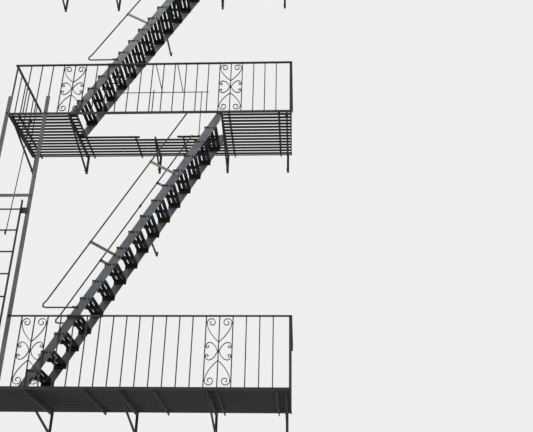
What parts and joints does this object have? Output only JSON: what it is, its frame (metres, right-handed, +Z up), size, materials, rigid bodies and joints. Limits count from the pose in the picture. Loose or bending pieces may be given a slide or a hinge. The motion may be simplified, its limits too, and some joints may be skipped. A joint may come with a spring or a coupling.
{
  "type": "fire escape stair",
  "caption": "Iron fire escape of three wall-hung balconies joined by steep slatted flights, with a drop ladder that slides down in front of the lowest balcony.",
  "frame": {"origin": "on the wall face of the middle bracket of the lowest balcony, on the middle of its lower wall bolt", "axes": "+Z up, +Y into the wall that the stair hangs on, +X along the wall to the right as seen from the street"},
  "size_m": [3.786, 1.126, 8],
  "materials": {
    "iron_paint": "satin, weathered dark paint",
    "worn_paint": "weathered grey paint"
  },
  "bodies": {
    "frame": {"low_brackets": "iron_paint", "low_floor_bars": "iron_paint", "low_floor_slats": "iron_paint", "low_edge_bars": "iron_paint", "low_front_railing": "iron_paint", "low_left_railing": "iron_paint", "low_right_railing": "iron_paint", "low_scroll_panels": "iron_paint", "mid_brackets": "iron_paint", "mid_floor_bars": "iron_paint", "mid_floor_left": "iron_paint", "mid_walkway": "iron_paint", "mid_floor_right": "iron_paint", "mid_edge_bars": "iron_paint", "mid_front_railing": "iron_paint", "mid_left_railing": "iron_paint", "mid_right_railing": "iron_paint", "mid_scroll_panels": "iron_paint", "well_guard": "iron_paint", "top_brackets": "iron_paint", "top_floor_bars": "iron_paint", "top_floor_left": "iron_paint", "top_walkway": "iron_paint", "top_floor_right": "iron_paint", "top_edge_bars": "iron_paint", "top_front_railing": "iron_paint", "top_left_railing": "iron_paint", "top_right_railing": "iron_paint", "top_scroll_panels": "iron_paint", "low_front_stringer": "worn_paint", "low_back_stringer": "worn_paint", "low_treads": "iron_paint", "low_front_handrail": "iron_paint", "low_back_handrail": "iron_paint", "low_wall_tie": "iron_paint", "up_front_stringer": "worn_paint", "up_back_stringer": "worn_paint", "up_treads": "iron_paint", "up_front_handrail": "iron_paint", "up_back_handrail": "iron_paint", "up_wall_tie": "iron_paint", "ladder_guides": "worn_paint", "hook_lugs": "iron_paint"},
    "drop_ladder": {"drop_ladder": "iron_paint"},
    "ladder_hook": {"ladder_hook": "iron_paint"}
  },
  "joints": [
    {"name": "ladder_slide", "type": "slide", "parent": "frame", "child": "drop_ladder", "axis": [0, 0, 1], "range_m": [-2, 0]},
    {"name": "hook_swing", "type": "hinge", "parent": "frame", "child": "ladder_hook", "pos_m": [-1.605, -0.93087, 3.85], "axis": [1, 0, 0], "range_deg": [0, 15]}
  ]
}
